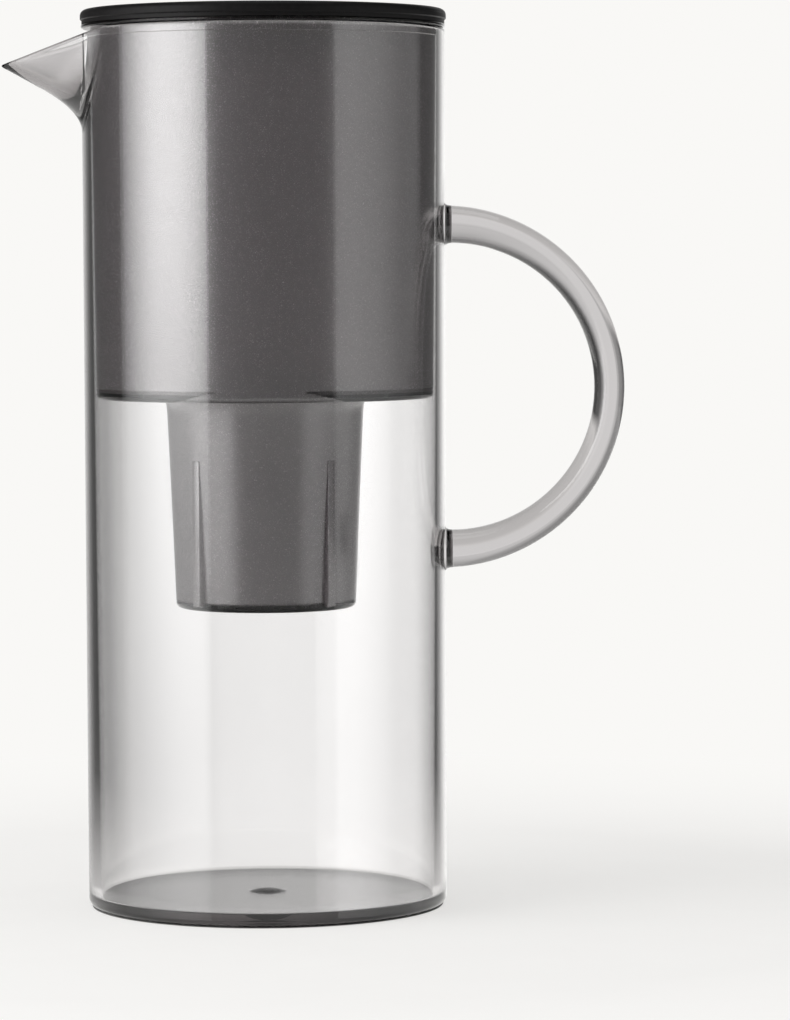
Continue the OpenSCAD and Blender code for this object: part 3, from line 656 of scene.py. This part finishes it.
def pour_flat(z):
    """Distance of the pour flat from the axis at a height."""
    return 53.5 + 2.1 * (z - 165) / 120.5


def inside_hopper(radius, z):
    """Whether a point lies on the inner side of the hopper's wall."""
    return INSIDE_LOW < z < INSIDE_HIGH and radius < INSIDE_R and radius < hopper_wall(z) - HOPPER_WALL / 2


bm = turn_profile(hopper_profile)
flattened = 0
for point in bm.verts:
    x, y, z = point.co * 1000
    if not FLAT_LOW < z < FLAT_HIGH or x > 0:
        continue
    reach = pour_flat(z) - (HOPPER_WALL if inside_hopper(math.hypot(x, y), z) else 0)
    if -x > reach:
        point.co.x = -reach / 1000
        flattened += 1
hopper = new_object("smoke_hopper", bm)
print("hopper", len(hopper.data.polygons), "faces,", flattened, "points on the pour flat")

# %% [markdown]
# Four ribs stand on the well's wall. Their outer faces are nearly upright, and the well tapers away behind them. Eight
# holes in the well's floor let the water out. The ribs are joined on and the holes cut out.

# %% Ribs and drains of the well
RIB_W, RIB_SOFT, RIB_TURN = 3, 0.00025, 43.5
RIB_TOP = {"inner": 30.2, "outer": 31.6, "z": 146}
RIB_FOOT = {"inner": 28.3, "outer": 31.45, "z": 98.8}
DRAIN_R, DRAIN_DEPTH, DRAIN_PLACE = 0.0025, 0.008, (0.015, 0, 0.0983)


def add_rib(bm, turn):
    """An upright rib: a cube whose corners are set to the rib's foot and its top."""
    rib = bmesh.ops.create_cube(bm, size=1)["verts"]
    for point in rib:
        end = RIB_TOP if point.co.z > 0 else RIB_FOOT
        x = end["outer"] if point.co.x > 0 else end["inner"]
        point.co = Vector((x, RIB_W * point.co.y, end["z"])) / 1000
    spin = Matrix.Rotation(math.radians(turn), 3, "Z")
    bmesh.ops.rotate(bm, verts=rib, cent=(0, 0, 0), matrix=spin)


def add_drain(bm, turn):
    """A round cutter through the well's floor."""
    size = {"radius1": DRAIN_R, "radius2": DRAIN_R, "depth": DRAIN_DEPTH}
    drain = bmesh.ops.create_cone(bm, cap_ends=True, segments=32, **size)["verts"]
    bmesh.ops.translate(bm, verts=drain, vec=DRAIN_PLACE)
    spin = Matrix.Rotation(math.radians(turn), 3, "Z")
    bmesh.ops.rotate(bm, verts=drain, cent=(0, 0, 0), matrix=spin)


bm = bmesh.new()
for turn in (-90 - RIB_TURN, -90 + RIB_TURN, 90 - RIB_TURN, 90 + RIB_TURN):
    add_rib(bm, turn)
bmesh.ops.bevel(bm, geom=bm.edges[:], offset=RIB_SOFT, affect="EDGES", segments=2, profile=0.5, material=-1)
combine(hopper, new_object("ribs", bm), "UNION")
bm = bmesh.new()
for turn in range(0, 360, 45):
    add_drain(bm, turn)
combine(hopper, new_object("drains", bm), "DIFFERENCE")
place_piece(hopper, "hopper", "hopper", dark_smoke)

# %% [markdown]
# The edges of the two floors and of the flange get the darker copy of the smoke, as painted shade. On the upper floor
# its band starts as a thin line in the middle and widens towards both sides, where one looks along the thick plastic.
# The ribs' sides turn dull.

# %% Painted shade on edges, and rib sides
EDGE_TOP, EDGE_DEEP, EDGE_THIN_TO, EDGE_GROWS = 169.2, 3.6, 13, 14


def on_shaded_edge(centre, radius, normal):
    """Where painted shade goes: the edge of the floor, of the flange or of the well's floor."""
    outwards = normal.x * centre.x + normal.y * centre.y > 0.05 * radius
    edge_low = EDGE_TOP - EDGE_DEEP * min(max(abs(centre.x) - EDGE_THIN_TO, 0) / EDGE_GROWS, 1)
    floor_edge = edge_low < centre.z < EDGE_TOP and radius > 52
    flange_edge = centre.z > 285.5 and radius > 56.5
    well_edge = centre.z < 100.2 and radius > 27.2
    return outwards and (floor_edge or flange_edge or well_edge)


def on_rib_side(centre, radius, normal):
    """On a side of one of the well's ribs."""
    outwards = abs(normal.x * centre.x + normal.y * centre.y) / max(radius, 0.001)
    on_rib = 99 < centre.z < RIB_TOP["z"] and 28.5 < radius < 32
    return on_rib and outwards < 0.6 and abs(normal.z) < 0.5


# Painted shade: the edges get the darker copy of the smoke.
dress_faces(hopper, edge_shade_smoke, on_shaded_edge)
dress_faces(hopper, rib_smoke, on_rib_side)

# %% [markdown]
# ## Solids that keep their CAD shape
# The lid, the flap, the seals and the cartridge are opaque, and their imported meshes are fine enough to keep.
# Each one only gets its finish.

# %% Finishes of the kept solids
kept = {
    "lid": lid_black,
    "fill_flap": lid_black,
    "lid_seal": seal_silicone,
    "cartridge_seal": seal_silicone,
    "flap_hinge_pin": pin_steel,
    "cartridge_cup": cartridge_white,
    "cartridge_cap": cartridge_white,
    "inlet_screen": screen_white,
    "outlet_screen": screen_white,
    "carbon_bed": carbon_granules,
    "separator_felt": felt_fibre,
    "resin_bed": resin_beads,
}
for name, finish in kept.items():
    solids[name].data.materials.clear()
    solids[name].data.materials.append(finish)
print(len(kept), "solids keep their shape")

# %% [markdown]
# ## Studio
# Clear plastic is lit by what it reflects and by what is seen through it. A large soft light stands on the left and
# a weaker one on the right, and the room behind the camera stays dim, so that the jug's front keeps its depth. The
# world is painted by direction round the jug for reflected and refracted rays, and is plain paper to the camera.

# %% Helpers for painted light
PAPER = (0.947, 0.939, 0.921)


def link_math(tree, operation, a, b):
    """A math node fed by two sockets or numbers."""
    made = tree.nodes.new("ShaderNodeMath")
    made.operation = operation
    for socket, source in zip(made.inputs, (a, b)):
        if isinstance(source, (int, float)):
            socket.default_value = source
        else:
            tree.links.new(source, socket)
    return made.outputs["Value"]


def fade_along(tree, source, stops, shade=(1, 1, 1)):
    """A colour ramp over a source, given as pairs of position and level."""
    ramp = tree.nodes.new("ShaderNodeValToRGB")
    marks = ramp.color_ramp.elements
    marks.remove(marks[-1])
    for k, (position, level) in enumerate(stops):
        mark = marks[0] if k == 0 else marks.new(position)
        mark.position = position
        mark.color = (level * shade[0], level * shade[1], level * shade[2], 1)
    tree.links.new(source, ramp.inputs["Fac"])
    return ramp.outputs["Color"]


def blend_shaders(tree, share, first, second):
    """A mix of two shaders by a share."""
    made = tree.nodes.new("ShaderNodeMixShader")
    tree.links.new(share, made.inputs["Fac"])
    tree.links.new(first, made.inputs[1])
    tree.links.new(second, made.inputs[2])
    return made.outputs["Shader"]


# %% [markdown]
# The room's brightness follows the bearing from straight behind the jug, in degrees and negative to the left. It is
# brightest behind the jug and dim at the sides, and it fades upwards. Rays that go down see the white table instead.

# %% Room and table
ROOM = [
    (-180, 0.16), (-100, 0.16), (-75, 0.08), (-30, 0.08), (-20.2, 0.36), (-14.1, 0.60), (-10.7, 0.72), (-8.9, 0.84),
    (-6.3, 0.84), (-4.8, 0.94), (-3.6, 1.06), (-2.9, 1.16), (-0.5, 1.19), (0.3, 1.18), (4, 1.17), (7.2, 1.23),
    (10.3, 1.25), (17.4, 1.0), (24, 0.5), (32, 0.10), (80, 0.08), (100, 0.16), (180, 0.16),
]
ROOM_SHADE = (1, 0.997, 0.986)
UPWARDS = [(0.0, 1.0), (0.06, 1.0), (0.09, 0.82), (0.13, 0.78), (0.3, 0.72), (0.55, 0.5), (0.7, 0.2), (1.0, 0.08)]
DOWNWARDS = [(0.0, 1.15), (0.17, 1.15), (0.25, 1.0), (0.6, 0.9), (1.0, 0.8)]
TABLE_EDGE = [(0.125, 0.0), (0.17, 1.0)]

world = bpy.data.worlds.new("studio")
bpy.context.scene.world = world
world.use_nodes = True
tree = world.node_tree
direction = tree.nodes.new("ShaderNodeTexCoord")
split = tree.nodes.new("ShaderNodeSeparateXYZ")
tree.links.new(direction.outputs["Generated"], split.inputs["Vector"])
bearing = link_math(tree, "ARCTAN2", split.outputs["X"], split.outputs["Y"])
share_round = link_math(tree, "ADD", link_math(tree, "MULTIPLY", bearing, 1 / math.tau), 0.5)
upwards = link_math(tree, "ADD", split.outputs["Z"], 0.05)
downwards = link_math(tree, "MULTIPLY", split.outputs["Z"], -1)

room = fade_along(tree, share_round, [(angle / 360 + 0.5, level) for angle, level in ROOM], ROOM_SHADE)
room_light = tree.nodes.new("ShaderNodeBackground")
tree.links.new(room, room_light.inputs["Color"])
tree.links.new(fade_along(tree, upwards, UPWARDS), room_light.inputs["Strength"])
table_light = tree.nodes.new("ShaderNodeBackground")
table_light.inputs["Color"].default_value = (*PAPER, 1)
tree.links.new(fade_along(tree, downwards, DOWNWARDS), table_light.inputs["Strength"])
print("world with", len(ROOM), "bearings")

# %% [markdown]
# Which light a ray finds depends on its kind. Reflected and refracted rays see the room and the table, rays from matt
# surfaces find an even grey, and the camera sees plain paper.

# %% Light by the kind of ray
path = tree.nodes.new("ShaderNodeLightPath")
paper_light = tree.nodes.new("ShaderNodeBackground")
paper_light.inputs["Color"].default_value = (*PAPER, 1)
even_light = tree.nodes["Background"]
even_light.inputs["Color"].default_value = (0.30, 0.30, 0.30, 1)
in_gloss = link_math(tree, "MAXIMUM", path.outputs["Is Glossy Ray"], path.outputs["Is Transmission Ray"])
on_table = fade_along(tree, downwards, TABLE_EDGE)
around = blend_shaders(tree, on_table, room_light.outputs["Background"], table_light.outputs["Background"])
around = blend_shaders(tree, in_gloss, even_light.outputs["Background"], around)
around = blend_shaders(tree, path.outputs["Is Camera Ray"], around, paper_light.outputs["Background"])
tree.links.new(around, tree.nodes["World Output"].inputs["Surface"])
print("world of", len(tree.nodes), "shader nodes")

# %% [markdown]
# ## Floor
# The floor is white paper. Close to the jug it shows the lamps' light and the jug's shadow; further out it fades into
# the plain background, so that no horizon shows. Seen through the jug, the world's own white stands in for it. A
# smaller disc of paper under the jug's base is painted darker, as painted shade.

# %% Paper floor
FLOOR_R, FLOOR_DROP = 0.46, 0.0003
SHADE_R, SHADE_DROP = 0.0575, 0.0002
GLOW, GLOW_SHARE = [(0.2, 1.2), (0.44, 1.0)], [(0.05, 0.55), (0.2, 0.55), (0.44, 1.0)]


def paper_disc(name, radius, drop):
    """A flat disc of paper a little below the jug's base."""
    bm = bmesh.new()
    bmesh.ops.create_circle(bm, cap_ends=True, segments=96, radius=radius)
    bmesh.ops.translate(bm, verts=bm.verts, vec=(0, 0, -drop))
    made = new_object(name, bm)
    return made


def paper_finish(name, low, high):
    """Matt paper between two tones."""
    finish, tree, shader = start_finish(name)
    tint(tree, noise(tree, 30), low, high, shader.inputs["Base Color"])
    shader.inputs["Roughness"].default_value = 0.9
    shader.inputs["Specular IOR Level"].default_value = 0.0
    return finish, tree, shader


floor = paper_disc("paper_floor", FLOOR_R, FLOOR_DROP)
floor.visible_transmission = False
floor.visible_glossy = False
paper, tree, shader = paper_finish("white_paper", (0.80, 0.795, 0.785), (0.82, 0.815, 0.805))
place = tree.nodes.new("ShaderNodeTexCoord")
far = tree.nodes.new("ShaderNodeVectorMath")
far.operation = "LENGTH"
tree.links.new(place.outputs["Object"], far.inputs[0])
glow = tree.nodes.new("ShaderNodeEmission")
glow.inputs["Color"].default_value = (*PAPER, 1)
tree.links.new(fade_along(tree, far.outputs["Value"], GLOW), glow.inputs["Strength"])
path = tree.nodes.new("ShaderNodeLightPath")
share = fade_along(tree, far.outputs["Value"], GLOW_SHARE)
share = link_math(tree, "MULTIPLY", share, path.outputs["Is Camera Ray"])
lit = blend_shaders(tree, share, shader.outputs["BSDF"], glow.outputs["Emission"])
tree.links.new(lit, tree.nodes["Material Output"].inputs["Surface"])
paper.cycles.emission_sampling = "NONE"
floor.data.materials.append(paper)

# Painted shade: this disc's paper is much darker than the floor's.
under = paper_disc("paper_under_jug", SHADE_R, SHADE_DROP)
shaded, tree, shader = paper_finish("painted_shade_paper", (0.34, 0.337, 0.331), (0.36, 0.357, 0.351))
under.data.materials.append(shaded)
print("paper floor", 2 * FLOOR_R, "m across, shaded disc", 2 * SHADE_R, "m")

# %% [markdown]
# ## Lamps
# Each soft light is an area lamp turned to face the jug. Its bearing and width decide where its bright band lies on
# the round wall, because a wall's reflection turns twice as fast as the wall does. A softbox is brighter in front of
# its bulb than at its edges, so each one gets a brightness across it and up it.

# %% Soft lights
EVEN = [(0.0, 1.0)]
LEFT_ACROSS = [(0.0, 0.17), (0.04, 0.22), (0.19, 0.46), (0.32, 0.72), (0.43, 0.92)]
LEFT_ACROSS += [(0.53, 1.0), (0.69, 1.0), (0.85, 0.82), (1.0, 0.5)]
LEFT_UP = [(0.2, 0.2), (0.26, 0.36), (0.32, 0.55), (0.37, 0.75), (0.43, 0.96), (0.47, 1.0), (1.0, 0.8)]
RIGHT_ACROSS = [(0.0, 1.0), (0.2, 0.98), (0.45, 0.75), (0.72, 0.38), (1.0, 0.35)]


def soft_light(name, spot, size, radiance, across, upwards):
    """An area lamp that faces the jug's axis, placed by bearing from the camera's side, distance and height."""
    bearing, distance, height = math.radians(spot[0]), spot[1], spot[2]
    width, tall = size
    lamp = bpy.data.lights.new(name, "AREA")
    lamp.shape = "RECTANGLE"
    lamp.size = width
    lamp.size_y = tall
    lamp.energy = radiance * math.pi * width * tall
    lamp.use_nodes = True
    tree = lamp.node_tree
    spread = tree.nodes.new("ShaderNodeNewGeometry")
    split = tree.nodes.new("ShaderNodeSeparateXYZ")
    tree.links.new(spread.outputs["Parametric"], split.inputs["Vector"])
    level_across = fade_along(tree, split.outputs["X"], across)
    level_up = fade_along(tree, split.outputs["Y"], upwards)
    level = link_math(tree, "MULTIPLY", level_across, level_up)
    tree.links.new(level, tree.nodes["Emission"].inputs["Strength"])
    made = bpy.data.objects.new(name, lamp)
    bpy.context.scene.collection.objects.link(made)
    made.location = Vector((math.sin(bearing) * distance, -math.cos(bearing) * distance, height))
    towards = Vector((0, 0, height)) - made.location
    made.rotation_euler = towards.to_track_quat("-Z", "Y").to_euler()
    made.visible_camera = False
    return made


soft_light("left_soft", (-66.5, 0.90, 0.325), (1.15, 1.55), 3.8, LEFT_ACROSS, LEFT_UP)
soft_light("right_soft", (81.5, 1.00, 0.325), (1.42, 1.55), 0.68, RIGHT_ACROSS, EVEN)
top = soft_light("top_soft", (0, 0.001, 1.30), (0.9, 0.9), 1.0, EVEN, EVEN)
top.rotation_euler = (0, 0, 0)

# %% [markdown]
# ## Render settings that belong to the look
# Clear walls inside clear walls need many bounces, or the far ones turn black. The plain view transform keeps the
# paper's white and the lid's black as they are.

# %% Light paths and colour
scene = bpy.context.scene
scene.view_settings.view_transform = "Standard"
scene.cycles.max_bounces = 32
scene.cycles.transmission_bounces = 32
scene.cycles.glossy_bounces = 12
print("bounces:", scene.cycles.max_bounces)
